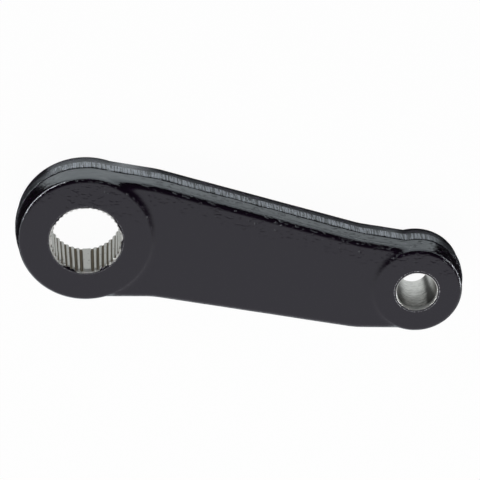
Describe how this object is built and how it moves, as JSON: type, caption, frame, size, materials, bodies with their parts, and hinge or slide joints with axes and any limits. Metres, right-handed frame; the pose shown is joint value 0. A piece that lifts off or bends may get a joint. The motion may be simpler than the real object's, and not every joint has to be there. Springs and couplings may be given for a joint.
{
  "type": "pitman arm",
  "caption": "Forged steering arm with a raised round eye at each end: a splined tapered bore with wide master teeth, and a smaller plain tapered bore.",
  "frame": {"origin": "on the splined bore's axis, in the plane of the two rear boss faces", "axes": "+X from the splined bore to the stud bore, +Z along both bores out of the front faces"},
  "size_m": [0.2061, 0.0636, 0.0238],
  "materials": {
    "painted_forging": "gloss black paint over a forged skin"
  },
  "bodies": {
    "root": {"pitman_arm": "painted_forging"}
  },
  "joints": []
}
